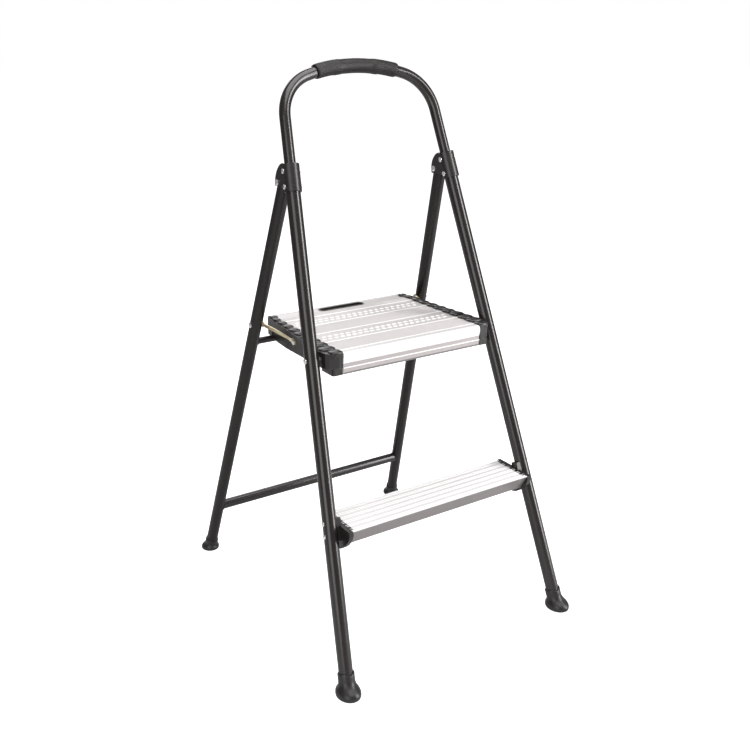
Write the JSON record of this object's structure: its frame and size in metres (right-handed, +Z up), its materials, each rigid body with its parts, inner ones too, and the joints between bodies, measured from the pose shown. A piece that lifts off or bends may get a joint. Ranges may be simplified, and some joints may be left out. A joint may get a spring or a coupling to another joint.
{
  "type": "step stool",
  "caption": "Folding step stool with a tall hoop handle: ribbed aluminium platform and lower step between black tubular legs, braced by pivoting straps and standing on rubber feet",
  "frame": {"origin": "centre of the bounding box at floor level, stool open", "axes": "+Z up, the user climbs from -Y so the front legs are at -Y, +X to the right of someone facing the stool"},
  "size_m": [0.519, 0.625, 1.0171],
  "materials": {
    "frame_paint": "gloss black powder coat",
    "black_plastic": "fine texture",
    "deck_aluminium": "satin extruded",
    "strap_steel": "yellow zinc plated",
    "rivet_steel": "zinc plated",
    "foot_rubber": "satin"
  },
  "bodies": {
    "front_frame": {"front_leg_left": "frame_paint", "front_leg_right": "frame_paint", "handle_hoop": "frame_paint", "hoop_bushing_left": "black_plastic", "hoop_bushing_right": "black_plastic", "handle_grip": "black_plastic", "bracket_left": "black_plastic", "bracket_right": "black_plastic", "bracket_rivets": "rivet_steel", "hinge_rivet_left": "rivet_steel", "hinge_rivet_right": "rivet_steel", "lower_tread": "deck_aluminium", "step_cap_left": "black_plastic", "step_cap_right": "black_plastic", "step_rivets": "rivet_steel", "front_foot_left": "foot_rubber", "front_foot_right": "foot_rubber", "platform_rivet_left": "rivet_steel", "platform_rivet_right": "rivet_steel"},
    "rear_frame": {"rear_leg_left": "frame_paint", "rear_leg_right": "frame_paint", "rear_crossbar": "frame_paint", "support_bar": "frame_paint", "rear_foot_left": "foot_rubber", "rear_foot_right": "foot_rubber", "link_rivet_left": "rivet_steel", "link_rivet_right": "rivet_steel"},
    "platform": {"plank_rear": "deck_aluminium", "plank_bump_rear": "deck_aluminium", "plank_centre": "deck_aluminium", "plank_bump_front": "deck_aluminium", "plank_front": "deck_aluminium", "deck_nose": "deck_aluminium", "rail_left": "black_plastic", "rail_right": "black_plastic", "slot_insert": "black_plastic", "link_bolt_left": "rivet_steel", "link_bolt_right": "rivet_steel"},
    "strap_left": {"link_left": "strap_steel", "link_stud_left": "rivet_steel"},
    "strap_right": {"link_right": "strap_steel", "link_stud_right": "rivet_steel"}
  },
  "joints": [
    {"name": "rear_fold", "type": "hinge", "parent": "front_frame", "child": "rear_frame", "pos_m": [0, 0.02603, 0.81892], "axis": [-1, 0, 0], "range_deg": [0, 36.4]},
    {"name": "platform_fold", "type": "hinge", "parent": "front_frame", "child": "platform", "pos_m": [0, -0.09989, 0.53719], "axis": [1, 0, 0], "range_deg": [0, 68.75]},
    {"name": "strap_left_swing", "type": "hinge", "parent": "platform", "child": "strap_left", "pos_m": [0, 0.01664, 0.53419], "axis": [-1, 0, 0], "range_deg": [0, 170.48]},
    {"name": "strap_right_swing", "type": "hinge", "parent": "platform", "child": "strap_right", "pos_m": [0, 0.01664, 0.53419], "axis": [-1, 0, 0], "range_deg": [0, 170.48]}
  ],
  "couplings": [
    {"joint": "platform_fold", "follows": "rear_fold", "ratio": 1.8885},
    {"joint": "strap_left_swing", "follows": "rear_fold", "ratio": 4.6832},
    {"joint": "strap_right_swing", "follows": "rear_fold", "ratio": 4.6832}
  ]
}
